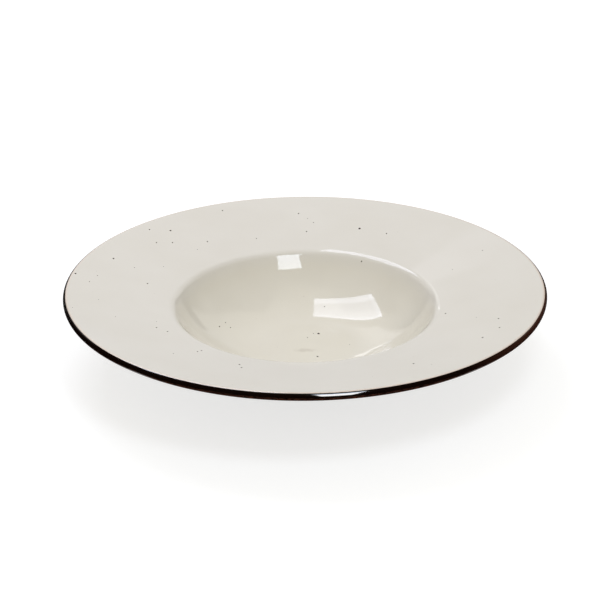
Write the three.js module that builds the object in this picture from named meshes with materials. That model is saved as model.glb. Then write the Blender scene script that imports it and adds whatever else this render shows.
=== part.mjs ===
// A risotto plate in glazed stoneware: one turned clay body and the four fired coats that lie on it.
// Millimetres and degrees, +Z up. The origin is the middle of the foot ring's standing face.
import * as THREE from 'three';

// Sizes over the fired glaze
const PLATE_DIAMETER = 280;
const EDGE_THICKNESS = 4.6;

// Face of the clay: a flat floor sweeps up into the well's wall, turns over the lip and runs out along the rim
const FLOOR_THICKNESS = 5.3;
const WELL_DEPTH = 27.7;
const WELL_SWEEP_RADIUS = 59;
const WALL_SLOPE = 55;
const MOUTH_DIAMETER = 154;
const LIP_RADIUS = 6.4;
const RIM_SLOPE = 12;

// Back of the clay: it follows the face, and the rim grows thicker towards the well
const RIM_TAPER = 1.2;
const WALL_THICKNESS = 5.4;
const BACK_LIP_RADIUS = 12;
const BACK_SWEEP_RADIUS = 46;
const BACK_SLOPE = 21;

// Foot ring of the clay
const FOOT_DIAMETER = 92;
const FOOT_WIDTH = 4;
const FOOT_DRAFT = 12;
const FOOT_FILLET = 4;
const FOOT_EDGE_RADIUS = 0.8;
const RECESS_HEIGHT = 3.2;
const RECESS_FILLET = 2.5;

// Fired coats: how thick they are, how far they lie off the clay and each other, and where they stop
const GLAZE_THICKNESS = 0.4;
const SEAT_GAP = 0.02;
const BAND_FACE_INSET = 1.2;
const BAND_BACK_INSET = 4;
const BARE_FOOT_HEIGHT = 1.5;

// Fineness of the turned surfaces: steps round the plate, and how far a facet may lie off its arc
const TURN_STEPS = 52;
const ARC_ERROR = 0.1;

const radians = THREE.MathUtils.degToRad;
const point = (r, z) => new THREE.Vector2(r, z);
const heading = (angle) => point(Math.cos(radians(angle)), Math.sin(radians(angle)));
const leftOf = (direction) => point(-direction.y, direction.x);
const moved = (from, direction, distance) => from.clone().addScaledVector(direction, distance);

// Where the line through one point at one angle crosses the line through another point at another angle
function crossing(first, firstAngle, second, secondAngle) {
  const along = heading(firstAngle);
  const across = heading(secondAngle);
  const distance = second.clone().sub(first).cross(across) / along.cross(across);
  return moved(first, along, distance);
}

// Stations along an arc, each with its direction out of the clay. The clay lies on the right of the way
// round the section, so a turn to the right is a bulge and a turn to the left is a hollow.
function arc(centre, radius, from, to) {
  const side = to < from ? 1 : -1;
  const facet = 2 * Math.acos(Math.max(0, 1 - ARC_ERROR / radius));
  const steps = Math.max(2, Math.ceil(radians(Math.abs(to - from)) / facet));
  return Array.from({ length: steps + 1 }, (_, step) => {
    const spoke = heading(from + ((to - from) * step) / steps);
    return { at: moved(centre, spoke, radius), out: spoke.clone().multiplyScalar(side) };
  });
}

// Stations along straight stretches whose corners are rounded. Where two roundings would meet on a stretch,
// both are cut back to share it.
function rounded(corners) {
  const stretches = corners.slice(1).map((corner, i) => corner.at.clone().sub(corners[i].at));
  const headings = stretches.map((stretch) => stretch.clone().normalize());
  const turns = corners.map((_, i) => {
    const isEnd = i === 0 || i === headings.length;
    return isEnd ? 0 : Math.atan2(headings[i - 1].cross(headings[i]), headings[i - 1].dot(headings[i]));
  });
  const reaches = corners.map((corner, i) => corner.radius * Math.tan(Math.abs(turns[i]) / 2));
  const room = stretches.map((stretch, i) => stretch.length() / Math.max(reaches[i] + reaches[i + 1], SEAT_GAP));
  const stations = [{ at: corners[0].at, out: leftOf(headings[0]) }];
  for (let i = 1; i < headings.length; i++) {
    const reach = reaches[i] * Math.min(1, room[i - 1], room[i]);
    const radius = reach / Math.tan(Math.abs(turns[i]) / 2);
    const start = moved(corners[i].at, headings[i - 1], -reach);
    const toCentre = leftOf(headings[i - 1]).multiplyScalar(Math.sign(turns[i]));
    const centre = moved(start, toCentre, radius);
    const from = THREE.MathUtils.radToDeg(start.clone().sub(centre).angle());
    stations.push(...arc(centre, radius, from, from + THREE.MathUtils.radToDeg(turns[i])));
  }
  stations.push({ at: corners.at(-1).at, out: leftOf(headings.at(-1)) });
  return stations;
}

// Section of the clay, from the middle of the floor out over the edge and back under to the middle of the base
const coatThickness = SEAT_GAP + GLAZE_THICKNESS;
const clayRadius = PLATE_DIAMETER / 2 - coatThickness;
const edgeRadius = EDGE_THICKNESS / 2 - coatThickness;
const floorHeight = RECESS_HEIGHT + FLOOR_THICKNESS;
const rimBackSlope = RIM_SLOPE + RIM_TAPER;

const floorMiddle = point(0, floorHeight);
const lip = point(MOUTH_DIAMETER / 2, floorHeight + WELL_DEPTH);
const wellCorner = crossing(floorMiddle, 0, lip, WALL_SLOPE);
const sweepCentre = point(
  wellCorner.x - WELL_SWEEP_RADIUS * Math.tan(radians(WALL_SLOPE / 2)),
  floorHeight + WELL_SWEEP_RADIUS,
);

const edgeLine = crossing(
  moved(lip, heading(RIM_SLOPE - 90), edgeRadius), RIM_SLOPE, point(clayRadius - edgeRadius, 0), 90,
);
const edgeStart = moved(edgeLine, heading(RIM_SLOPE + 90), edgeRadius);
const edgeEnd = moved(edgeLine, heading(rimBackSlope - 90), edgeRadius);

const backSweepRadius = WELL_SWEEP_RADIUS + WALL_THICKNESS;
const wallBack = moved(sweepCentre, heading(WALL_SLOPE - 90), backSweepRadius);
const bowlBack = moved(sweepCentre, heading(BACK_SLOPE - 90), backSweepRadius);
const backLip = crossing(edgeEnd, rimBackSlope, wallBack, WALL_SLOPE);
const backCorner = crossing(wallBack, WALL_SLOPE, bowlBack, BACK_SLOPE);

const footOuter = point(FOOT_DIAMETER / 2, 0);
const footInner = point(FOOT_DIAMETER / 2 - FOOT_WIDTH, 0);
const baseMiddle = point(0, RECESS_HEIGHT);
const footCorner = crossing(footOuter, 90 - FOOT_DRAFT, bowlBack, BACK_SLOPE);
const recessCorner = crossing(footInner, 90 + FOOT_DRAFT, baseMiddle, 0);

const section = [
  ...rounded([
    { at: floorMiddle, radius: 0 },
    { at: wellCorner, radius: WELL_SWEEP_RADIUS },
    { at: lip, radius: LIP_RADIUS },
    { at: edgeStart, radius: 0 },
  ]),
  ...arc(edgeLine, edgeRadius, RIM_SLOPE + 90, 0),
  ...arc(edgeLine, edgeRadius, 0, rimBackSlope - 90),
  ...rounded([
    { at: edgeEnd, radius: 0 },
    { at: backLip, radius: BACK_LIP_RADIUS },
    { at: backCorner, radius: BACK_SWEEP_RADIUS },
    { at: footCorner, radius: FOOT_FILLET },
    { at: footOuter, radius: FOOT_EDGE_RADIUS },
    { at: footInner, radius: FOOT_EDGE_RADIUS },
    { at: recessCorner, radius: RECESS_FILLET },
    { at: baseMiddle, radius: 0 },
  ]),
].filter(({ at }, i, all) => i === 0 || at.distanceTo(all[i - 1].at) > SEAT_GAP);

// Distance along the section at each station
const travelled = [0];
for (let i = 1; i < section.length; i++) {
  travelled.push(travelled[i - 1] + section[i].at.distanceTo(section[i - 1].at));
}
const sectionLength = travelled.at(-1);

// The station at a distance along the section
function stationAt(distance) {
  const next = Math.max(1, travelled.findIndex((reached) => reached >= distance));
  const share = (distance - travelled[next - 1]) / (travelled[next] - travelled[next - 1]);
  return {
    at: section[next - 1].at.clone().lerp(section[next].at, share),
    out: section[next - 1].out.clone().lerp(section[next].out, share).normalize(),
  };
}

// The first distance past a start at which a measure of the section rises through nought
function firstRise(start, measure) {
  const next = section.findIndex(({ at }, i) => {
    return travelled[i] > start && measure(section[i - 1].at) < 0 && measure(at) >= 0;
  });
  const before = measure(section[next - 1].at);
  const share = before / (before - measure(section[next].at));
  return THREE.MathUtils.lerp(travelled[next - 1], travelled[next], share);
}

// Profile of a coat on a stretch of the clay: its inside lies a seat gap off the clay
function coatProfile(from, to) {
  const between = section.filter((_, i) => travelled[i] > from && travelled[i] < to);
  const bed = [stationAt(from), ...between, stationAt(to)];
  const outside = bed.map(({ at, out }) => moved(at, out, coatThickness));
  const inside = bed.map(({ at, out }) => moved(at, out, SEAT_GAP)).reverse();
  const profile = from === 0 ? [...outside, ...inside] : [...inside, ...outside];
  return to === sectionLength || from === 0 ? profile : [...profile, profile[0].clone()];
}

// A body of revolution about the plate's upright axis. The turning takes its profile the other way round.
function turned(name, profile, material) {
  const geometry = new THREE.LatheGeometry([...profile].reverse(), TURN_STEPS);
  geometry.rotateX(Math.PI / 2);
  const mesh = new THREE.Mesh(geometry, material);
  mesh.name = name;
  return mesh;
}

// Where one coat stops and the next begins
const bandOnFace = firstRise(0, (at) => at.x - (clayRadius - BAND_FACE_INSET));
const bandOnBack = firstRise(bandOnFace, (at) => clayRadius - BAND_BACK_INSET - at.x);
const footOutside = firstRise(bandOnBack, (at) => BARE_FOOT_HEIGHT - at.y);
const footInside = firstRise(footOutside, (at) => at.y - BARE_FOOT_HEIGHT);

const firedClay = new THREE.MeshStandardMaterial({ color: 0xd8ccba, roughness: 0.85, metalness: 0 });
const offWhiteGlaze = new THREE.MeshStandardMaterial({ color: 0xe4dfd4, roughness: 0.1, metalness: 0 });
const ironGlaze = new THREE.MeshStandardMaterial({ color: 0x24110b, roughness: 0.15, metalness: 0 });

const plate = new THREE.Group();
plate.add(
  turned('clay_body', section.map(({ at }) => at), firedClay),
  turned('face_glaze', coatProfile(0, bandOnFace - SEAT_GAP / 2), offWhiteGlaze),
  turned('edge_band', coatProfile(bandOnFace + SEAT_GAP / 2, bandOnBack - SEAT_GAP / 2), ironGlaze),
  turned('back_glaze', coatProfile(bandOnBack + SEAT_GAP / 2, footOutside), offWhiteGlaze),
  turned('base_glaze', coatProfile(footInside, sectionLength), offWhiteGlaze),
);

export default plate;
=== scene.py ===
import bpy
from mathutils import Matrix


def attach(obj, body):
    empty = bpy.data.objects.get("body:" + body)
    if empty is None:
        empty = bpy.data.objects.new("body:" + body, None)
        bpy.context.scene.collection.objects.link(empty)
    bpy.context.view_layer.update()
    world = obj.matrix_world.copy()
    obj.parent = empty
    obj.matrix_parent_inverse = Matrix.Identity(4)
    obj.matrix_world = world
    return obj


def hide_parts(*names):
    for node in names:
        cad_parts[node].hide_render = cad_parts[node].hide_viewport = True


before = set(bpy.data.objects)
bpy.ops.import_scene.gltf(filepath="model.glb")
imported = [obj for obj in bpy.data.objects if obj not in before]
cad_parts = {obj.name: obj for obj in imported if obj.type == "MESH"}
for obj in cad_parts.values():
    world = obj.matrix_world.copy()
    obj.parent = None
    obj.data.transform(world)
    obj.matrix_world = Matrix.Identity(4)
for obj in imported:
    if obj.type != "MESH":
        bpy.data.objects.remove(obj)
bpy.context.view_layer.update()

import math

import bpy
from mathutils import Quaternion, Vector
from mathutils.bvhtree import BVHTree
from mathutils.interpolate import poly_3d_calc

# Camera
# The photograph looks down on the plate from the front, at a little over 24 degrees, with a long lens.
# Its picture is tipped by less than half a degree, so that the plate's right side stands higher.
MM = 0.001
PICTURE_SIDE_PX = 605
FOCAL_LENGTH_PX = 1716
CAMERA_DISTANCE = 1000
CAMERA_ELEVATION = 24.13
CAMERA_ROLL = -0.36
SENSOR_WIDTH = 36
EDGE_HEIGHT = 47.2
EDGE_MIDDLE_PX = (304.9, 286.0)

elevation = math.radians(CAMERA_ELEVATION)
edge_middle = Vector((0, 0, EDGE_HEIGHT * MM))
camera = bpy.data.objects.new("camera", bpy.data.cameras.new("camera"))
bpy.context.scene.collection.objects.link(camera)
camera.data.sensor_width = SENSOR_WIDTH
camera.data.lens = FOCAL_LENGTH_PX / PICTURE_SIDE_PX * SENSOR_WIDTH
camera.location = edge_middle
camera.location += Vector((0, -math.cos(elevation), math.sin(elevation))) * CAMERA_DISTANCE * MM
roll = Quaternion((0, 0, 1), math.radians(CAMERA_ROLL))
pitch = Quaternion((1, 0, 0), math.atan((EDGE_MIDDLE_PX[1] - PICTURE_SIDE_PX / 2) / FOCAL_LENGTH_PX))
yaw = Quaternion((0, 1, 0), math.atan((EDGE_MIDDLE_PX[0] - PICTURE_SIDE_PX / 2) / FOCAL_LENGTH_PX))
camera.rotation_mode = "QUATERNION"
camera.rotation_quaternion = (edge_middle - camera.location).to_track_quat("-Z", "Y") @ roll @ pitch @ yaw
bpy.context.scene.camera = camera


# Clay body
# The plate itself is one lump of pale stoneware, shaped by a turning template over a plaster mould, with
# its foot ring cut into the back. Only the bare foot ring shows: the rest lies under the glaze.
PLATE_DIAMETER = 280
EDGE_THICKNESS = 4.6
FLOOR_THICKNESS = 5.3
WELL_DEPTH = 27.7
WELL_SWEEP_RADIUS = 59
WALL_SLOPE = 55
MOUTH_DIAMETER = 154
LIP_RADIUS = 6.4
RIM_SLOPE = 12
RIM_TAPER = 1.2
WALL_THICKNESS = 5.4
BACK_LIP_RADIUS = 12
BACK_SWEEP_RADIUS = 46
BACK_SLOPE = 21
FOOT_DIAMETER = 92
FOOT_WIDTH = 4
FOOT_DRAFT = 12
FOOT_FILLET = 4
FOOT_EDGE_RADIUS = 0.8
RECESS_HEIGHT = 3.2
RECESS_FILLET = 2.5
GLAZE_THICKNESS = 0.4
SEAT_GAP = 0.02
ARC_STEP = 3
STRAIGHT_STEP = 3
EASED_STEP = 0.3
TURN_STEPS = 360
CLAY_TURN_STEPS = 300
WARP_HEIGHT = 0.05
WARP_SIZE = 60
SEAM_DISTANCE = 0.001


def heading(angle):
    return Vector((math.cos(math.radians(angle)), math.sin(math.radians(angle))))


def left_of(direction):
    return Vector((-direction.y, direction.x))


def crossing(first, first_angle, second, second_angle):
    """Where a line through one point at one angle crosses a line through another point."""
    along = heading(first_angle)
    across = heading(second_angle)
    return first + along * ((second - first).cross(across) / along.cross(across))


def arc(centre, radius, start, end):
    """Stations on an arc, each a point and its direction out of the clay, which lies on the right."""
    side = 1 if end < start else -1
    steps = max(2, math.ceil(abs(end - start) / ARC_STEP))
    spokes = [heading(start + (end - start) * step / steps) for step in range(steps + 1)]
    return [(centre + spoke * radius, spoke * side) for spoke in spokes]


def straight(start, end):
    """Stations on a straight stretch, with a short step at each end so that its shading stays flat."""
    length = (end - start).length
    steps = max(1, math.ceil(length / STRAIGHT_STEP))
    shares = {step / steps for step in range(steps + 1)}
    if length > 2 * EASED_STEP:
        shares |= {EASED_STEP / length, 1 - EASED_STEP / length}
    out = left_of((end - start).normalized())
    return [(start.lerp(end, share), out) for share in sorted(shares)]


def rounded(*corners):
    """Stations along straight stretches with rounded corners: each corner is a point and a radius."""
    stations = []
    reached = corners[0][0]
    for (before, _), (corner, radius), (after, _) in zip(corners, corners[1:], corners[2:]):
        way_in = (corner - before).normalized()
        way_out = (after - corner).normalized()
        turn = math.atan2(way_in.cross(way_out), way_in.dot(way_out))
        start = corner - way_in * radius * math.tan(abs(turn) / 2)
        centre = start + left_of(way_in) * math.copysign(radius, turn)
        spoke = start - centre
        angle = math.degrees(math.atan2(spoke.y, spoke.x))
        stations += straight(reached, start)
        stations += arc(centre, radius, angle, angle + math.degrees(turn))
        reached = stations[-1][0]
    return stations + straight(reached, corners[-1][0])


coat = GLAZE_THICKNESS + SEAT_GAP
clay_radius = PLATE_DIAMETER / 2 - coat
edge_radius = EDGE_THICKNESS / 2 - coat
floor_height = RECESS_HEIGHT + FLOOR_THICKNESS
rim_back_slope = RIM_SLOPE + RIM_TAPER
back_sweep = WELL_SWEEP_RADIUS + WALL_THICKNESS

floor_middle = Vector((0, floor_height))
lip = Vector((MOUTH_DIAMETER / 2, floor_height + WELL_DEPTH))
well_corner = crossing(floor_middle, 0, lip, WALL_SLOPE)
sweep_inset = WELL_SWEEP_RADIUS * math.tan(math.radians(WALL_SLOPE / 2))
sweep_centre = well_corner + Vector((-sweep_inset, WELL_SWEEP_RADIUS))
rim_middle = lip + heading(RIM_SLOPE - 90) * edge_radius
edge_line = crossing(rim_middle, RIM_SLOPE, Vector((clay_radius - edge_radius, 0)), 90)
edge_end = edge_line + heading(rim_back_slope - 90) * edge_radius
wall_back = sweep_centre + heading(WALL_SLOPE - 90) * back_sweep
bowl_back = sweep_centre + heading(BACK_SLOPE - 90) * back_sweep
foot_outer = Vector((FOOT_DIAMETER / 2, 0))
foot_inner = Vector((FOOT_DIAMETER / 2 - FOOT_WIDTH, 0))
base_middle = Vector((0, RECESS_HEIGHT))

face_stations = rounded(
    (floor_middle, 0),
    (well_corner, WELL_SWEEP_RADIUS),
    (lip, LIP_RADIUS),
    (edge_line + heading(RIM_SLOPE + 90) * edge_radius, 0),
)
edge_stations = arc(edge_line, edge_radius, RIM_SLOPE + 90, 0)
edge_stations += arc(edge_line, edge_radius, 0, rim_back_slope - 90)
back_stations = rounded(
    (edge_end, 0),
    (crossing(edge_end, rim_back_slope, wall_back, WALL_SLOPE), BACK_LIP_RADIUS),
    (crossing(wall_back, WALL_SLOPE, bowl_back, BACK_SLOPE), BACK_SWEEP_RADIUS),
    (crossing(foot_outer, 90 - FOOT_DRAFT, bowl_back, BACK_SLOPE), FOOT_FILLET),
    (foot_outer, FOOT_EDGE_RADIUS),
    (foot_inner, FOOT_EDGE_RADIUS),
    (crossing(foot_inner, 90 + FOOT_DRAFT, base_middle, 0), RECESS_FILLET),
    (base_middle, 0),
)
section = face_stations[:1]
for station in face_stations + edge_stations + back_stations:
    if (station[0] - section[-1][0]).length > SEAT_GAP:
        section.append(station)


def add(tree, kind, inputs=None, **settings):
    """Adds a node with its settings. Each input takes a value, or a link from another node's output."""
    made = tree.nodes.new(kind)
    for name, value in settings.items():
        setattr(made, name, value)
    for socket, value in (inputs or {}).items():
        if isinstance(value, bpy.types.NodeSocket):
            tree.links.new(value, made.inputs[socket])
        else:
            made.inputs[socket].default_value = value
    return made


def linear(hex_colour):
    """An sRGB hex colour as linear red, green, blue and alpha."""
    parts = [int(hex_colour[i:i + 2], 16) / 255 for i in (1, 3, 5)]
    return (*[p / 12.92 if p <= 0.04045 else ((p + 0.055) / 1.055) ** 2.4 for p in parts], 1)


def named_input(tree, name, kind, value=None):
    """Adds a named input to a node tree."""
    made = tree.interface.new_socket(name, in_out="INPUT", socket_type=kind)
    if value is not None:
        made.default_value = value
    return made


# Turning: every ring of the lathe is the profile swung about the upright axis, with the slight warp that
# a plate takes in the kiln. The foot, which stands on the kiln shelf, stays flat.
turning = bpy.data.node_groups.new("turning", "GeometryNodeTree")
named_input(turning, "Profile", "NodeSocketGeometry")
named_input(turning, "Turn Steps", "NodeSocketInt", TURN_STEPS)
named_input(turning, "Warp Height", "NodeSocketFloat", WARP_HEIGHT * MM)
named_input(turning, "Warp Size", "NodeSocketFloat", WARP_SIZE * MM)
named_input(turning, "Finish", "NodeSocketMaterial")
turning.interface.new_socket("Piece", in_out="OUTPUT", socket_type="NodeSocketGeometry")
given = add(turning, "NodeGroupInput").outputs
position = add(turning, "GeometryNodeInputPosition").outputs[0]
index = add(turning, "GeometryNodeInputIndex").outputs[0]
count = add(turning, "GeometryNodeAttributeDomainSize", {0: given["Profile"]}).outputs["Point Count"]
ring = add(turning, "ShaderNodeMath", {0: given["Turn Steps"], 1: 1.0}, operation="ADD").outputs[0]
grid = add(turning, "GeometryNodeMeshGrid", {"Vertices X": count, "Vertices Y": ring}).outputs["Mesh"]
place = add(turning, "ShaderNodeMath", {0: index, 1: ring}, operation="DIVIDE").outputs[0]
row = add(turning, "ShaderNodeMath", {0: place}, operation="FLOOR").outputs[0]
step = add(turning, "ShaderNodeMath", {0: index, 1: ring}, operation="MODULO").outputs[0]
share = add(turning, "ShaderNodeMath", {0: step, 1: given["Turn Steps"]}, operation="DIVIDE").outputs[0]
angle = add(turning, "ShaderNodeMath", {0: share, 1: 2 * math.pi}, operation="MULTIPLY").outputs[0]
profile_point = add(
    turning, "GeometryNodeSampleIndex",
    {"Geometry": given["Profile"], "Value": position, "Index": row}, data_type="FLOAT_VECTOR",
).outputs[0]
swung = add(
    turning, "ShaderNodeVectorRotate", {"Vector": profile_point, "Angle": angle}, rotation_type="Z_AXIS",
).outputs[0]
laid = add(turning, "GeometryNodeSetPosition", {"Geometry": grid, "Position": swung}).outputs[0]
closed = add(
    turning, "GeometryNodeMergeByDistance", {"Geometry": laid, "Distance": SEAM_DISTANCE * MM},
).outputs[0]
fineness = add(turning, "ShaderNodeMath", {0: 1.0, 1: given["Warp Size"]}, operation="DIVIDE").outputs[0]
noise = add(
    turning, "ShaderNodeTexNoise", {"Vector": position, "Scale": fineness, "Detail": 0.0},
).outputs[0]
height = add(turning, "ShaderNodeSeparateXYZ", {0: position}).outputs["Z"]
freedom = add(
    turning, "ShaderNodeMapRange",
    {"Value": height, "From Min": RECESS_HEIGHT * MM, "From Max": lip.y * MM},
    interpolation_type="SMOOTHSTEP",
).outputs[0]
centred = add(turning, "ShaderNodeMath", {0: noise, 1: 0.5}, operation="SUBTRACT").outputs[0]
reach = add(
    turning, "ShaderNodeMath", {0: freedom, 1: given["Warp Height"]}, operation="MULTIPLY",
).outputs[0]
lift = add(turning, "ShaderNodeMath", {0: centred, 1: reach}, operation="MULTIPLY").outputs[0]
offset = add(turning, "ShaderNodeCombineXYZ", {"Z": lift}).outputs[0]
warped = add(turning, "GeometryNodeSetPosition", {"Geometry": closed, "Offset": offset}).outputs[0]
smooth = add(turning, "GeometryNodeSetShadeSmooth", {"Geometry": warped, "Shade Smooth": True}).outputs[0]
whole = add(turning, "GeometryNodeRealizeInstances", {"Geometry": smooth}).outputs[0]
finished = add(
    turning, "GeometryNodeSetMaterial", {"Geometry": whole, "Material": given["Finish"]},
).outputs[0]
add(turning, "NodeGroupOutput", {0: finished})


def made_by(tree, name, mesh, **values):
    """A plain mesh object of what a node tree makes of a mesh with these named inputs."""
    source = bpy.data.objects.new(name + "_source", mesh)
    bpy.context.scene.collection.objects.link(source)
    modifier = source.modifiers.new(tree.name, "NODES")
    modifier.node_group = tree
    sockets = {item.name: item.identifier for item in tree.interface.items_tree if item.in_out == "INPUT"}
    for label, value in values.items():
        modifier[sockets[label.replace("_", " ").title()]] = value
    evaluated = source.evaluated_get(bpy.context.evaluated_depsgraph_get())
    result = bpy.data.meshes.new_from_object(evaluated)
    bpy.data.objects.remove(source)
    result.name = name
    piece = bpy.data.objects.new(name, result)
    bpy.context.scene.collection.objects.link(piece)
    return piece


def turned(name, profile, finish, turn_steps=TURN_STEPS):
    """A piece turned from its profile, given as points of radius and height in millimetres."""
    mesh = bpy.data.meshes.new(name + "_profile")
    mesh.from_pydata([(p.x * MM, 0, p.y * MM) for p in profile], [], [])
    return made_by(turning, name, mesh, turn_steps=turn_steps, finish=finish)


def on_object(tree, scale_mm):
    """Object coordinates scaled so that one unit of a pattern is a real size in millimetres."""
    where = add(tree, "ShaderNodeTexCoord").outputs["Object"]
    return add(
        tree, "ShaderNodeVectorMath", {0: where, 1: (1 / (scale_mm * MM),) * 3}, operation="MULTIPLY",
    ).outputs[0]


def surface(name):
    """A new material, its node tree and its shader."""
    material = bpy.data.materials.new(name)
    material.use_nodes = True
    return material, material.node_tree, material.node_tree.nodes["Principled BSDF"]


# Bare fired stoneware: matt, a little gritty and warmer than the glaze. Its grog, coarse grains of fired
# clay about half a millimetre across, gives it a fine mottle.
GROG_SIZE = 0.6
GRIT_DEPTH = 0.05

bare_stoneware, tree, shader = surface("bare_stoneware")
shader.inputs["Roughness"].default_value = 0.85
grit = add(
    tree, "ShaderNodeTexNoise", {"Vector": on_object(tree, GROG_SIZE), "Scale": 1.0, "Detail": 3.0},
).outputs[0]
body_colour = add(
    tree, "ShaderNodeMix", {"Factor": grit, 6: linear("#cbbda6"), 7: linear("#e0d5c2")}, data_type="RGBA",
).outputs[2]
tree.links.new(body_colour, shader.inputs["Base Color"])
grain = add(
    tree, "ShaderNodeBump", {"Height": grit, "Distance": GRIT_DEPTH * MM, "Strength": 0.6},
).outputs[0]
tree.links.new(grain, shader.inputs["Normal"])

clay_body = turned("clay_body_fired", [at for at, _ in section], bare_stoneware, CLAY_TURN_STEPS)
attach(clay_body, "root")
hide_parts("clay_body")


# Back glaze
# The off-white coat on the plate's back is sprayed on and fired with the rest. It runs from the brown band
# to just above the standing face, where it is wiped off so that the foot doesn't stick.
BAND_FACE_INSET = 1.2
BAND_BACK_INSET = 4
BARE_FOOT_HEIGHT = 1.5

distances = [0]
for (before, _), (after, _) in zip(section, section[1:]):
    distances.append(distances[-1] + (after - before).length)


def first_rise(start, measure):
    """The first distance along the section, past a start, at which a measure rises through nought."""
    for i in range(1, len(section)):
        before = measure(section[i - 1][0])
        after = measure(section[i][0])
        if distances[i] > start and before < 0 <= after:
            return distances[i - 1] + (distances[i] - distances[i - 1]) * before / (before - after)


def station_at(distance):
    """The point of the section at a distance along it, and its direction out of the clay."""
    i = next(i for i in range(1, len(section)) if distances[i] >= distance)
    share = (distance - distances[i - 1]) / (distances[i] - distances[i - 1])
    at = section[i - 1][0].lerp(section[i][0], share)
    return at, section[i - 1][1].lerp(section[i][1], share).normalized()


def coat_profile(start, end):
    """Profile of a coat on a stretch of the clay: outside, and inside a seat gap off the clay."""
    between = [s for s, distance in zip(section, distances) if start < distance < end]
    bed = [station_at(start), *between, station_at(end)]
    outside = [at + out * coat for at, out in bed]
    inside = [at + out * SEAT_GAP for at, out in reversed(bed)]
    profile = outside + inside if start == 0 else inside + outside
    on_axis = start == 0 or end == distances[-1]
    return profile if on_axis else profile + profile[:1]


band_on_face = first_rise(0, lambda at: at.x - (clay_radius - BAND_FACE_INSET))
band_on_back = first_rise(band_on_face, lambda at: clay_radius - BAND_BACK_INSET - at.x)
foot_outside = first_rise(band_on_back, lambda at: BARE_FOOT_HEIGHT - at.y)
foot_inside = first_rise(foot_outside, lambda at: at.y - BARE_FOOT_HEIGHT)

# Off-white glaze: a glassy coat over pale clay, clouded by a white oxide. It is smooth as glass, a little
# uneven in colour, and faintly rubbed on the floor. Over the well it is tinted warmer: partly glaze that
# lies thicker there, and partly painted warm light bounced about the hollow.
# It holds fine iron pepper, and the brown band stains its border.
CLOUD_SIZE = 35
POOL_AND_BOUNCE_EDGE = (80, 70)
SCUFF_MIDDLE = (0, -7, floor_height)
SCUFF_REACH = (11, 4, 3)
SCUFF_FADE = (1.35, 0.6)
SCUFF_STRENGTH = 0.28
RUB_SIZE = 3
PEPPER_SPACING = 7
PEPPER_RADIUS = 0.2
PEPPER_STRENGTH = 0.7
STAIN_WIDTH = 1.6
STAIN_STRENGTH = 0.32

off_white_glaze, tree, shader = surface("off_white_glaze")
shader.inputs["Roughness"].default_value = 0.04
shader.inputs["IOR"].default_value = 1.5
cloud = add(
    tree, "ShaderNodeTexNoise", {"Vector": on_object(tree, CLOUD_SIZE), "Scale": 1.0, "Detail": 2.0},
).outputs[0]
clouded = add(
    tree, "ShaderNodeMix", {"Factor": cloud, 6: linear("#e1dcd3"), 7: linear("#e8e4dd")}, data_type="RGBA",
).outputs[2]
where = add(tree, "ShaderNodeTexCoord").outputs["Object"]
level = add(tree, "ShaderNodeVectorMath", {0: where, 1: (1, 1, 0)}, operation="MULTIPLY").outputs[0]
radius = add(tree, "ShaderNodeVectorMath", {0: level}, operation="LENGTH").outputs["Value"]
# The warmer tint of the well: partly thicker glaze, partly painted warm bounce light.
pool_and_bounce = add(
    tree, "ShaderNodeMapRange",
    {"Value": radius, "From Min": POOL_AND_BOUNCE_EDGE[0] * MM, "From Max": POOL_AND_BOUNCE_EDGE[1] * MM},
    interpolation_type="SMOOTHSTEP",
).outputs[0]
pooled_and_bounce_lit = add(
    tree, "ShaderNodeMix", {"Factor": pool_and_bounce, 6: clouded, 7: linear("#fffef8")},
    data_type="RGBA", blend_type="MULTIPLY",
).outputs[2]
about_scuff = add(
    tree, "ShaderNodeVectorMath", {0: where, 1: Vector(SCUFF_MIDDLE) * MM}, operation="SUBTRACT",
).outputs[0]
in_scuff = add(
    tree, "ShaderNodeVectorMath", {0: about_scuff, 1: Vector(SCUFF_REACH) * MM}, operation="DIVIDE",
).outputs[0]
from_scuff = add(tree, "ShaderNodeVectorMath", {0: in_scuff}, operation="LENGTH").outputs["Value"]
rub = add(
    tree, "ShaderNodeTexNoise", {"Vector": on_object(tree, RUB_SIZE), "Scale": 1.0, "Detail": 3.0},
).outputs[0]
ragged = add(tree, "ShaderNodeMath", {0: from_scuff, 1: rub}, operation="ADD").outputs[0]
scuff = add(
    tree, "ShaderNodeMapRange",
    {"Value": ragged, "From Min": SCUFF_FADE[0], "From Max": SCUFF_FADE[1], "To Max": SCUFF_STRENGTH},
    interpolation_type="SMOOTHSTEP",
).outputs[0]
scuffed = add(
    tree, "ShaderNodeMix", {"Factor": scuff, 6: pooled_and_bounce_lit, 7: linear("#a89c8c")}, data_type="RGBA",
).outputs[2]
pepper_place = add(
    tree, "ShaderNodeTexVoronoi", {"Vector": on_object(tree, PEPPER_SPACING), "Scale": 1.0},
).outputs["Distance"]
pepper = add(
    tree, "ShaderNodeMapRange",
    {
        "Value": pepper_place,
        "From Min": 0.5 * PEPPER_RADIUS / PEPPER_SPACING,
        "From Max": PEPPER_RADIUS / PEPPER_SPACING,
        "To Min": PEPPER_STRENGTH,
        "To Max": 0.0,
    },
).outputs[0]
peppered = add(
    tree, "ShaderNodeMix", {"Factor": pepper, 6: scuffed, 7: linear("#6b5a4a")}, data_type="RGBA",
).outputs[2]
stain = add(
    tree, "ShaderNodeMapRange",
    {
        "Value": radius,
        "From Min": (clay_radius - BAND_FACE_INSET - STAIN_WIDTH) * MM,
        "From Max": (clay_radius - BAND_FACE_INSET) * MM,
        "To Max": STAIN_STRENGTH,
    },
    interpolation_type="SMOOTHSTEP",
).outputs[0]
stained = add(
    tree, "ShaderNodeMix", {"Factor": stain, 6: peppered, 7: linear("#d0a98c")}, data_type="RGBA",
).outputs[2]
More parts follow.
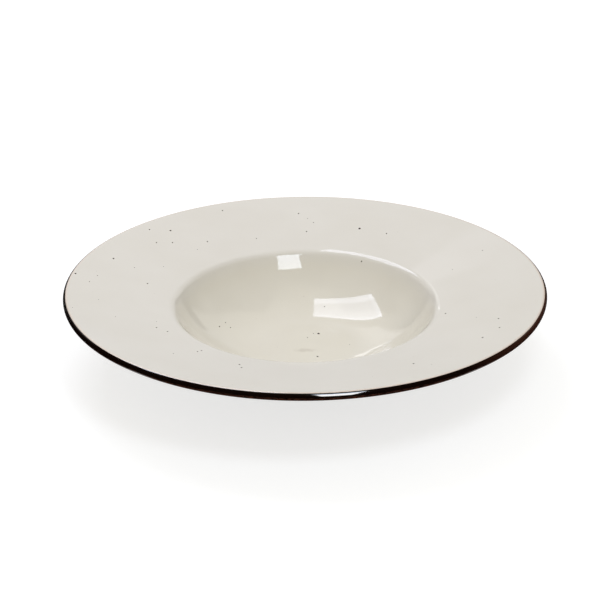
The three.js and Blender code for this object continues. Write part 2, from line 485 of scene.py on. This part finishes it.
tree.links.new(stained, shader.inputs["Base Color"])

back_glaze = turned("back_glaze_fired", coat_profile(band_on_back, foot_outside), off_white_glaze)
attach(back_glaze, "root")
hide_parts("back_glaze")


# Base glaze
# The same coat covers the disc inside the foot ring.
# It is sprayed with the back, and wiped off the ring.
base_glaze = turned("base_glaze_fired", coat_profile(foot_inside, distances[-1]), off_white_glaze)
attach(base_glaze, "root")
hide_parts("base_glaze")


# Face glaze
# The coat that the food lies on runs from the middle of the floor to the brown band.
# It is sprayed on over the whole face and fired to a gloss.
face_glaze = turned("face_glaze_fired", coat_profile(0, band_on_face), off_white_glaze)
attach(face_glaze, "root")
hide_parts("face_glaze")


# Edge band
# A dark brown glaze, full of iron, is painted round the rounded edge with the plate turning on a wheel.
# It is nearly black where it lies thick, and breaks to rust where it thins under the edge.
DASH_LENGTH = 3.0
DASH_HEIGHT = 0.5
RUST_TOP = 0.3
RUST_BOTTOM = -1.5
FLECK_FADE = (0.4, 0.65)
THIN_SIDE = (85, 135)
THIN_STRENGTH = 0.26

# Brown iron glaze: glassy and nearly black, with short dashes of rust along the way that the wheel turned.
# It is thinner, and so browner, on the plate's right.
iron_glaze, tree, shader = surface("brown_iron_glaze")
shader.inputs["Roughness"].default_value = 0.06
shader.inputs["IOR"].default_value = 1.9
where = add(tree, "ShaderNodeTexCoord").outputs["Object"]
axes = add(tree, "ShaderNodeSeparateXYZ", {0: where}).outputs
turn = add(tree, "ShaderNodeMath", {0: axes["Y"], 1: axes["X"]}, operation="ARCTAN2").outputs[0]
round_edge = add(
    tree, "ShaderNodeMath", {0: turn, 1: clay_radius / DASH_LENGTH}, operation="MULTIPLY",
).outputs[0]
up_edge = add(
    tree, "ShaderNodeMath", {0: axes["Z"], 1: 1 / (DASH_HEIGHT * MM)}, operation="MULTIPLY",
).outputs[0]
unrolled = add(tree, "ShaderNodeCombineXYZ", {"X": round_edge, "Y": up_edge}).outputs[0]
mottle = add(tree, "ShaderNodeTexNoise", {"Vector": unrolled, "Scale": 1.0, "Detail": 3.0}).outputs[0]
flecks = add(
    tree, "ShaderNodeMapRange", {"Value": mottle, "From Min": FLECK_FADE[0], "From Max": FLECK_FADE[1]},
).outputs[0]
under = add(
    tree, "ShaderNodeMapRange",
    {
        "Value": axes["Z"],
        "From Min": (edge_line.y + RUST_TOP) * MM,
        "From Max": (edge_line.y + RUST_BOTTOM) * MM,
    },
).outputs[0]
thin = add(
    tree, "ShaderNodeMapRange",
    {
        "Value": axes["X"],
        "From Min": THIN_SIDE[0] * MM,
        "From Max": THIN_SIDE[1] * MM,
        "To Max": THIN_STRENGTH,
    },
).outputs[0]
rusty = add(tree, "ShaderNodeMath", {0: flecks, 1: under}, operation="MULTIPLY").outputs[0]
rust = add(tree, "ShaderNodeMath", {0: rusty, 1: thin}, operation="ADD", use_clamp=True).outputs[0]
iron_colour = add(
    tree, "ShaderNodeMix", {"Factor": rust, 6: linear("#120805"), 7: linear("#84503e")}, data_type="RGBA",
).outputs[2]
tree.links.new(iron_colour, shader.inputs["Base Color"])

edge_band = turned("edge_band_fired", coat_profile(band_on_face, band_on_back), iron_glaze)
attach(edge_band, "root")
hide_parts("edge_band")


# Iron specks
# Grains of iron in the glaze melt into round brown spots up to 2 mm across, all but level with it.
# Those on the face lie where the photograph shows them, and those on the back are strewn at random.
LARGE_SPECK = 1.8
MIDDLE_SPECK = 1.35
SMALL_SPECK = 1.05
TINY_SPECK = 0.75
FAINT_SPECK = 0.5
FINEST_SPECK = 0.25
SPECK_WIDTH = 0.85
SPECK_LENGTH = 1.15
SPECK_HEIGHT = 0.03
STREWN_SPECKS_PER_M2 = 500
STREWN_SEED = 9
OUTSIDE_SLOPE = 0.2
MELT_SIZE = 0.5
SPECKS_PX = {
    LARGE_SPECK: [(359, 228), (318, 333)],
    MIDDLE_SPECK: [
        (170, 230), (113, 258), (75, 273), (482, 337), (413, 363), (239, 364), (241, 367), (317, 356),
    ],
    SMALL_SPECK: [
        (149, 229), (222, 210), (298, 213), (361, 261), (386, 233), (445, 313), (147, 283), (201, 350),
        (197, 351), (156, 327), (306, 231), (219, 326), (156, 242), (172, 242), (167, 331), (498, 318),
        (499, 327), (207, 241),
    ],
    TINY_SPECK: [
        (89, 281), (97, 275), (134, 267), (313, 222), (256, 238), (482, 250), (230, 327), (225, 322),
        (307, 337), (313, 333), (324, 306), (173, 353),
    ],
    FAINT_SPECK: [
        (98, 299), (307, 218), (452, 269), (197, 249), (163, 266), (156, 321), (72, 307), (115, 316),
        (349, 344), (431, 364), (476, 317),
    ],
}


def line_of_sight(across, down):
    """The way that the camera looks at a pixel of the picture."""
    sideways = (across + 0.5 - PICTURE_SIDE_PX / 2) / FOCAL_LENGTH_PX
    upwards = (PICTURE_SIDE_PX / 2 - down - 0.5) / FOCAL_LENGTH_PX
    return (camera.rotation_quaternion @ Vector((sideways, upwards, -1))).normalized()


bpy.context.view_layer.update()
face_tree = BVHTree.FromObject(face_glaze, bpy.context.evaluated_depsgraph_get())
centres = []
normals = []
sizes = []
for size, pixels in SPECKS_PX.items():
    for across, down in pixels:
        place, normal, _, _ = face_tree.ray_cast(camera.location, line_of_sight(across, down))
        centres.append(place)
        normals.append(normal)
        sizes.append(size * MM)
speck_points = bpy.data.meshes.new("speck_points")
speck_points.from_pydata(centres, [], [])
speck_points.attributes.new("speck_normal", "FLOAT_VECTOR", "POINT")
speck_points.attributes.new("speck_size", "FLOAT", "POINT")
for i, (normal, size) in enumerate(zip(normals, sizes)):
    speck_points.attributes["speck_normal"].data[i].vector = normal
    speck_points.attributes["speck_size"].data[i].value = size

# Speckling: a flat drop sits at each given point, and more are strewn over one side of a coat.
speckling = bpy.data.node_groups.new("speckling", "GeometryNodeTree")
named_input(speckling, "Points", "NodeSocketGeometry")
named_input(speckling, "Coat", "NodeSocketObject")
named_input(speckling, "Facing", "NodeSocketFloat", 1.0)
named_input(speckling, "Density", "NodeSocketFloat", STREWN_SPECKS_PER_M2)
named_input(speckling, "Seed", "NodeSocketInt", STREWN_SEED)
named_input(speckling, "Finish", "NodeSocketMaterial")
speckling.interface.new_socket("Specks", in_out="OUTPUT", socket_type="NodeSocketGeometry")
given = add(speckling, "NodeGroupInput").outputs
ball = add(
    speckling, "GeometryNodeMeshUVSphere", {"Segments": 10, "Rings": 6, "Radius": 0.5},
).outputs["Mesh"]
drop = add(
    speckling, "GeometryNodeTransform",
    {"Geometry": ball, "Scale": (SPECK_WIDTH, SPECK_LENGTH, SPECK_HEIGHT)},
).outputs[0]
rounded_drop = add(speckling, "GeometryNodeSetShadeSmooth", {"Geometry": drop}).outputs[0]
given_normal = add(
    speckling, "GeometryNodeInputNamedAttribute", {"Name": "speck_normal"}, data_type="FLOAT_VECTOR",
).outputs[0]
given_size = add(
    speckling, "GeometryNodeInputNamedAttribute", {"Name": "speck_size"}, data_type="FLOAT",
).outputs[0]
lying = add(speckling, "FunctionNodeAlignRotationToVector", {"Vector": given_normal}, axis="Z").outputs[0]
placed = add(
    speckling, "GeometryNodeInstanceOnPoints",
    {"Points": given["Points"], "Instance": rounded_drop, "Rotation": lying, "Scale": given_size},
).outputs[0]
coat_mesh = add(
    speckling, "GeometryNodeObjectInfo", {"Object": given["Coat"]}, transform_space="RELATIVE",
).outputs["Geometry"]
face_normal = add(speckling, "GeometryNodeInputNormal").outputs[0]
rise = add(speckling, "ShaderNodeSeparateXYZ", {0: face_normal}).outputs["Z"]
turned_out = add(
    speckling, "ShaderNodeMath", {0: rise, 1: given["Facing"]}, operation="MULTIPLY",
).outputs[0]
outside = add(
    speckling, "ShaderNodeMath", {0: turned_out, 1: OUTSIDE_SLOPE}, operation="GREATER_THAN",
).outputs[0]
strewn = add(
    speckling, "GeometryNodeDistributePointsOnFaces",
    {"Mesh": coat_mesh, "Selection": outside, "Density": given["Density"], "Seed": given["Seed"]},
).outputs
strewn_size = add(
    speckling, "FunctionNodeRandomValue",
    {2: FINEST_SPECK * MM, 3: TINY_SPECK * MM, "Seed": given["Seed"]}, data_type="FLOAT",
).outputs[1]
scattered = add(
    speckling, "GeometryNodeInstanceOnPoints",
    {
        "Points": strewn["Points"], "Instance": rounded_drop,
        "Rotation": strewn["Rotation"], "Scale": strewn_size,
    },
).outputs[0]
joined = add(speckling, "GeometryNodeJoinGeometry", {0: placed})
speckling.links.new(scattered, joined.inputs[0])
whole = add(speckling, "GeometryNodeRealizeInstances", {"Geometry": joined.outputs[0]}).outputs[0]
finished = add(
    speckling, "GeometryNodeSetMaterial", {"Geometry": whole, "Material": given["Finish"]},
).outputs[0]
add(speckling, "NodeGroupOutput", {0: finished})

# Melted iron: a dark brown glassy spot, lighter and redder where it has spread into the glaze.
melted_iron, tree, shader = surface("melted_iron")
shader.inputs["Roughness"].default_value = 0.15
melt = add(
    tree, "ShaderNodeTexNoise", {"Vector": on_object(tree, MELT_SIZE), "Scale": 1.0, "Detail": 2.0},
).outputs[0]
melt_colour = add(
    tree, "ShaderNodeMix", {"Factor": melt, 6: linear("#180d08"), 7: linear("#4a2f20")}, data_type="RGBA",
).outputs[2]
tree.links.new(melt_colour, shader.inputs["Base Color"])

face_specks = made_by(
    speckling, "face_specks", speck_points, coat=face_glaze, density=0.0, finish=melted_iron,
)
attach(face_specks, "root")
no_points = bpy.data.meshes.new("no_points")
back_specks = made_by(
    speckling, "back_specks", no_points, coat=back_glaze, facing=-1.0, finish=melted_iron,
)
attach(back_specks, "root")


# Lamps
# A large soft lamp with brighter borders hangs behind the plate on its left, and a smaller one stands in
# front on its right. A low lamp in front lights nothing: it only shows where the glaze mirrors it.
# Each border is an axis across the lamp, the shares of it where the border starts and is full, and a gain.
OVERHEAD_PLACE = (-0.356, 0.676, 1.047)
OVERHEAD_AIM = (-0.356, 0.676, 0)
OVERHEAD_SIDES = (0.617, 0.736)
OVERHEAD_TURN = -2.9
OVERHEAD_RADIANCE = 3.9
OVERHEAD_BORDERS = (("X", 0.16, 0.08, 0.25), ("Y", 0.24, 0.16, 0.55), ("Y", 0.82, 0.92, 0.2))
FRONT_PLACE = (0.185, -0.504, 0.839)
FRONT_AIM = (-0.013, 0.013, 0.002)
FRONT_SIDES = (0.272, 0.275)
FRONT_TURN = -7.8
FRONT_RADIANCE = 9.0
LOW_PLACE = (0.227, -0.894, 0.586)
LOW_AIM = (0.049, -0.377, -0.251)
LOW_SIDES = (0.272, 0.663)
LOW_TURN = -8.4
LOW_RADIANCE = 10.0


def lamp(name, place, aim, sides, turn, colour, radiance):
    """A rectangular soft lamp of a given brightness, in metres, turned about the way that it shines."""
    width, length = sides
    light = bpy.data.lights.new(name, "AREA")
    light.color = linear(colour)[:3]
    light.shape = "RECTANGLE"
    light.size = width
    light.size_y = length
    light.energy = radiance * math.pi * width * length
    holder = bpy.data.objects.new(name, light)
    holder.location = place
    spin = Quaternion((0, 0, 1), math.radians(turn))
    holder.rotation_mode = "QUATERNION"
    holder.rotation_quaternion = (Vector(aim) - Vector(place)).to_track_quat("-Z", "Y") @ spin
    holder.visible_camera = False
    bpy.context.scene.collection.objects.link(holder)
    return holder


overhead_lamp = lamp(
    "overhead_lamp", OVERHEAD_PLACE, OVERHEAD_AIM, OVERHEAD_SIDES, OVERHEAD_TURN, "#e7ecff",
    OVERHEAD_RADIANCE,
)
overhead_lamp.data.use_nodes = True
tree = overhead_lamp.data.node_tree
on_lamp = add(tree, "ShaderNodeNewGeometry").outputs["Parametric"]
shares = add(tree, "ShaderNodeSeparateXYZ", {0: on_lamp}).outputs
brightness = 1.0
for axis, start, full, gain in OVERHEAD_BORDERS:
    border = add(
        tree, "ShaderNodeMapRange",
        {"Value": shares[axis], "From Min": start, "From Max": full, "To Max": gain},
    ).outputs[0]
    brightness = add(tree, "ShaderNodeMath", {0: brightness, 1: border}, operation="ADD").outputs[0]
tree.links.new(brightness, tree.nodes["Emission"].inputs["Strength"])
lamp("front_lamp", FRONT_PLACE, FRONT_AIM, FRONT_SIDES, FRONT_TURN, "#eaf2ff", FRONT_RADIANCE)
low_lamp = lamp("low_lamp", LOW_PLACE, LOW_AIM, LOW_SIDES, LOW_TURN, "#ffffff", LOW_RADIANCE)
low_lamp.visible_diffuse = False


# Table
# The plate stands on a wide table with a dull white top, which shows its soft shadow. The top glows to the
# eye and in mirrors, and more so far off, where it ends in the white of the room.
TABLE_REACH = 4
TABLE_GLOW = 0.7
NEAR_TABLE = 0.5
FAR_TABLE = 1.6


def screen(name, outlines, material):
    """Flat screens with these outlines, in metres, as one object of the studio."""
    corners = []
    sides = []
    for outline in outlines:
        sides.append(list(range(len(corners), len(corners) + len(outline))))
        corners += outline
    mesh = bpy.data.meshes.new(name)
    mesh.from_pydata(corners, [], sides)
    mesh.materials.append(material)
    made = bpy.data.objects.new(name, mesh)
    bpy.context.scene.collection.objects.link(made)
    return made


def level_square(reach, height):
    """The outline of a level square about the plate's axis."""
    plan = [(-reach, -reach), (reach, -reach), (reach, reach), (-reach, reach)]
    return [(across, back, height) for across, back in plan]


def seen_or_mirrored(tree):
    """One for what the camera sees, straight or by a mirror or glass, and nought for what gives light."""
    path = add(tree, "ShaderNodeLightPath").outputs
    seen = path["Is Camera Ray"]
    for ray in ("Is Glossy Ray", "Is Transmission Ray"):
        seen = add(tree, "ShaderNodeMath", {0: seen, 1: path[ray]}, operation="MAXIMUM").outputs[0]
    return seen


# White table top: matt, so that it mirrors nothing of the plate.
white_table, tree, shader = surface("white_table")
shader.inputs["Base Color"].default_value = linear("#b4b4b4")
shader.inputs["Roughness"].default_value = 0.9
shader.inputs["Specular IOR Level"].default_value = 0.0
where = add(tree, "ShaderNodeTexCoord").outputs["Object"]
distance = add(tree, "ShaderNodeVectorMath", {0: where}, operation="LENGTH").outputs["Value"]
whiteness = add(
    tree, "ShaderNodeMapRange",
    {
        "Value": distance, "From Min": NEAR_TABLE, "From Max": FAR_TABLE,
        "To Min": TABLE_GLOW, "To Max": 1.0,
    },
    interpolation_type="SMOOTHSTEP",
).outputs[0]
glow = add(
    tree, "ShaderNodeMath", {0: seen_or_mirrored(tree), 1: whiteness}, operation="MULTIPLY",
).outputs[0]
tree.links.new(glow, shader.inputs["Emission Strength"])
shader.inputs["Emission Color"].default_value = linear("#ffffff")
screen("table", [level_square(TABLE_REACH, 0)], white_table)


# Lit papers
# A lit card hangs far behind the plate, with a torn strip of lit paper before it. The well mirrors both.
# The strip is shaped by the streak that mirrors it: each of its stations is a pixel across and the pixels
# of the streak's upper and lower edge.
WALL_RADIANCE = 0.606
CARD_DISTANCE = 4
CARD_LEFT = -1.5
CARD_FULL = -0.84
CARD_RIGHT = -0.06
CARD_BOTTOM = 1.0
CARD_TOP = 3.06
CARD_BOTTOM_SHARE = 0.3
CARD_OVER_WALL = 1.15
CARD_RADIANCE = 0.95
TORN_RADIANCE = 2.3
TORN_DISTANCE = 3.9
TORN_STRIP_PX = [
    (354, 355.3, 356.5), (357, 354.4, 356.0), (361, 353.3, 355.2), (365, 351.7, 353.9),
    (369, 349.4, 350.9), (374, 347.0, 348.3), (379, 344.8, 346.6), (384, 343.0, 345.0),
    (389, 341.4, 342.8),
]


def upright(left, right, distance, bottom, top):
    """The outline of an upright sheet that faces the plate from behind."""
    sheet = [(left, bottom), (right, bottom), (right, top), (left, top)]
    return [(across, distance, height) for across, height in sheet]


def paper(name, colour):
    """A material of lit paper, which glows and gives back no other light."""
    material, tree, shader = surface(name)
    shader.inputs["Base Color"].default_value = linear("#000000")
    shader.inputs["Specular IOR Level"].default_value = 0.0
    shader.inputs["Emission Color"].default_value = linear(colour)
    return material, tree, shader


# Lit paper: brighter to its left and top, which the floor of the well mirrors as a pale sheen.
lit_paper, tree, shader = paper("lit_paper", "#fffdfb")
where = add(tree, "ShaderNodeTexCoord").outputs["Object"]
axes = add(tree, "ShaderNodeSeparateXYZ", {0: where}).outputs
across = add(
    tree, "ShaderNodeMapRange", {"Value": axes["X"], "From Min": CARD_RIGHT, "From Max": CARD_FULL},
).outputs[0]
upwards = add(
    tree, "ShaderNodeMapRange",
    {"Value": axes["Z"], "From Min": CARD_BOTTOM, "From Max": CARD_TOP, "To Min": CARD_BOTTOM_SHARE},
).outputs[0]
share = add(tree, "ShaderNodeMath", {0: across, 1: upwards}, operation="MULTIPLY").outputs[0]
brightness = add(
    tree, "ShaderNodeMath", {0: share, 1: CARD_RADIANCE, 2: WALL_RADIANCE * CARD_OVER_WALL},
    operation="MULTIPLY_ADD",
).outputs[0]
tree.links.new(brightness, shader.inputs["Emission Strength"])
card = screen("card", [upright(CARD_LEFT, CARD_RIGHT, CARD_DISTANCE, CARD_BOTTOM, CARD_TOP)], lit_paper)
card.visible_camera = False


def mirrored_place(across, down):
    """The place behind the plate that the face glaze mirrors at a pixel of the picture."""
    sight = line_of_sight(across, down)
    place, _, face, _ = face_tree.ray_cast(camera.location, sight)
    corners = [face_glaze.data.vertices[i] for i in face_glaze.data.polygons[face].vertices]
    shares = poly_3d_calc([corner.co for corner in corners], place)
    normal = sum((corner.normal * share for corner, share in zip(corners, shares)), Vector((0, 0, 0)))
    way = sight.reflect(normal.normalized())
    return place + way * ((TORN_DISTANCE - place.y) / way.y)


# Torn paper: bright white, which the lower right of the well mirrors as a crooked streak.
torn_paper, tree, shader = paper("torn_paper", "#ffffff")
shader.inputs["Emission Strength"].default_value = TORN_RADIANCE
torn_edges = [
    (mirrored_place(across, top), mirrored_place(across, bottom)) for across, top, bottom in TORN_STRIP_PX
]
torn_strip = screen(
    "torn_strip",
    [[*before, *reversed(after)] for before, after in zip(torn_edges, torn_edges[1:])],
    torn_paper,
)


# Black flags
# Black cloth makes a hood round the camera's side of the plate, open above and behind it. The plate is lit
# as if the cloth weren't there: it only shows in what the glaze mirrors.
# Each place is how far across and how far behind the plate's axis a corner of the cloth hangs.
FLAG_BOTTOM = 0.004
FLAG_TOP = 2.1
WING_BOTTOM = 1.15
SIDE_FLAG_TOP = 1.5
SHEER_FROM = 0.4
CAMERA_FLAG = (1.3, -1.3)
PLATE_FLAG = (1.5, -0.1)
SIDE_FLAG = (1.35, 0.9)
WING = (1.05, 1.4)
FAR_SIDE_FLAG = (0.75, 1.85)
FLOOR_CLOTH_EDGE = 0.13
ROOF_CLOTH_EDGE = 0.5


def cloth(name):
    """A material of black cloth, which is dull and gives back next to no light."""
    material, tree, shader = surface(name)
    shader.inputs["Base Color"].default_value = linear("#050505")
    shader.inputs["Roughness"].default_value = 1.0
    shader.inputs["Specular IOR Level"].default_value = 0.0
    return material, tree, shader


def hung(bottom, top, before, after):
    """The outline of a cloth that hangs between two upright lines, which stand at these places."""
    return [(*before, bottom), (*before, top), (*after, top), (*after, bottom)]


def on_side(side, place):
    """A place in plan, put on the plate's left or right."""
    return (side * place[0], place[1])


# Black cloth: dull and dark, which the far wall and the sides of the well mirror as their darker tones.
black_cloth, _, _ = cloth("black_cloth")

# Thin black cloth: grows sheer towards its top, so that the tones of the side walls fade softly.
thin_cloth, tree, shader = cloth("thin_cloth")
where = add(tree, "ShaderNodeTexCoord").outputs["Object"]
height = add(tree, "ShaderNodeSeparateXYZ", {0: where}).outputs["Z"]
cover = add(
    tree, "ShaderNodeMapRange",
    {"Value": height, "From Min": SHEER_FROM, "From Max": SIDE_FLAG_TOP, "To Min": 1.0, "To Max": 0.0},
    interpolation_type="SMOOTHSTEP",
).outputs[0]
tree.links.new(cover, shader.inputs["Alpha"])

left_camera, right_camera = [on_side(side, CAMERA_FLAG) for side in (-1, 1)]
left_plate, right_plate = [on_side(side, PLATE_FLAG) for side in (-1, 1)]
black_outlines = [hung(FLAG_BOTTOM, FLAG_TOP, left_camera, right_camera)]
hood_plan = (left_camera, right_camera, right_plate, left_plate)
for cloth_height in (FLAG_BOTTOM, FLAG_TOP):
    black_outlines.append([(*place, cloth_height) for place in hood_plan])
thin_outlines = []
for side in (-1, 1):
    by_camera, by_plate, beside, wing, far_side = [
        on_side(side, place) for place in (CAMERA_FLAG, PLATE_FLAG, SIDE_FLAG, WING, FAR_SIDE_FLAG)
    ]
    floor_edge = side * FLOOR_CLOTH_EDGE
    roof_edge = side * ROOF_CLOTH_EDGE
    floor_cloth = [by_plate, beside, (floor_edge, beside[1]), (floor_edge, by_plate[1])]
    roof_cloth = [by_plate, (roof_edge, by_plate[1]), (roof_edge, wing[1]), wing, beside]
    black_outlines += [
        hung(FLAG_BOTTOM, FLAG_TOP, by_camera, by_plate),
        hung(FLAG_BOTTOM, FLAG_TOP, by_plate, beside),
        hung(WING_BOTTOM, FLAG_TOP, beside, wing),
        [(*place, FLAG_BOTTOM) for place in floor_cloth],
        [(*place, FLAG_TOP) for place in roof_cloth],
    ]
    thin_outlines.append(hung(FLAG_BOTTOM, SIDE_FLAG_TOP, beside, far_side))
front_flags = screen("front_flags", black_outlines, black_cloth)
side_flags = screen("side_flags", thin_outlines, thin_cloth)


# Room
# The plate stands in a tent of pale paper. The glaze mirrors the tent, and the camera sees plain white.
# A slip of the same paper hangs close behind the plate and hides the torn strip from the right of the rim.
CEILING_RADIANCE = 0.46
TENT_REACH = 4.5
TENT_BOTTOM = -1
TENT_TOP = 4.5
SLIP_DISTANCE = 0.25
SLIP_LEFT = 0.036
SLIP_RIGHT = 0.125
SLIP_BOTTOM = 0.105
SLIP_TOP = 0.175


def room_light(tree, way):
    """The light of the room by its direction: warm from above, whiter from before and behind."""
    sized = add(tree, "ShaderNodeVectorMath", {0: way}, operation="ABSOLUTE").outputs[0]
    shares = add(tree, "ShaderNodeSeparateXYZ", {0: sized}).outputs
    parts = []
    for axis, radiance, colour in (("Y", WALL_RADIANCE, "#fffefb"), ("Z", CEILING_RADIANCE, "#fff8e2")):
        full = [part * radiance for part in linear(colour)[:3]]
        parts.append(add(
            tree, "ShaderNodeVectorMath", {0: full, "Scale": shares[axis]}, operation="SCALE",
        ).outputs[0])
    return add(tree, "ShaderNodeVectorMath", {0: parts[0], 1: parts[1]}, operation="ADD").outputs[0]


# Tent paper: glows softly, warm overhead and whiter before and behind the plate.
tent_paper, tree, shader = paper("tent_paper", "#ffffff")
shader.inputs["Emission Strength"].default_value = 1.0
where = add(tree, "ShaderNodeTexCoord").outputs["Object"]
outwards = add(tree, "ShaderNodeVectorMath", {0: where}, operation="NORMALIZE").outputs[0]
tree.links.new(room_light(tree, outwards), shader.inputs["Emission Color"])
tent_paper.cycles.emission_sampling = "NONE"
tent_floor = level_square(TENT_REACH, TENT_BOTTOM)
tent_roof = level_square(TENT_REACH, TENT_TOP)
tent_walls = [
    [tent_floor[i - 1], tent_floor[i], tent_roof[i], tent_roof[i - 1]] for i in range(len(tent_floor))
]
tent = screen("tent", [tent_floor, tent_roof, *tent_walls], tent_paper)
paper_slip = screen(
    "paper_slip", [upright(SLIP_LEFT, SLIP_RIGHT, SLIP_DISTANCE, SLIP_BOTTOM, SLIP_TOP)], tent_paper,
)
for mirrored in (torn_strip, paper_slip, front_flags, side_flags, tent):
    mirrored.visible_camera = False
    mirrored.visible_diffuse = False
    mirrored.visible_shadow = False

world = bpy.data.worlds.new("studio")
bpy.context.scene.world = world
world.use_nodes = True
tree = world.node_tree
way = add(tree, "ShaderNodeTexCoord").outputs["Generated"]
background = add(
    tree, "ShaderNodeMix",
    {"Factor": seen_or_mirrored(tree), 6: room_light(tree, way), 7: linear("#ffffff")}, data_type="RGBA",
).outputs[2]
tree.links.new(background, tree.nodes["Background"].inputs["Color"])
bpy.context.scene.view_settings.view_transform = "Standard"
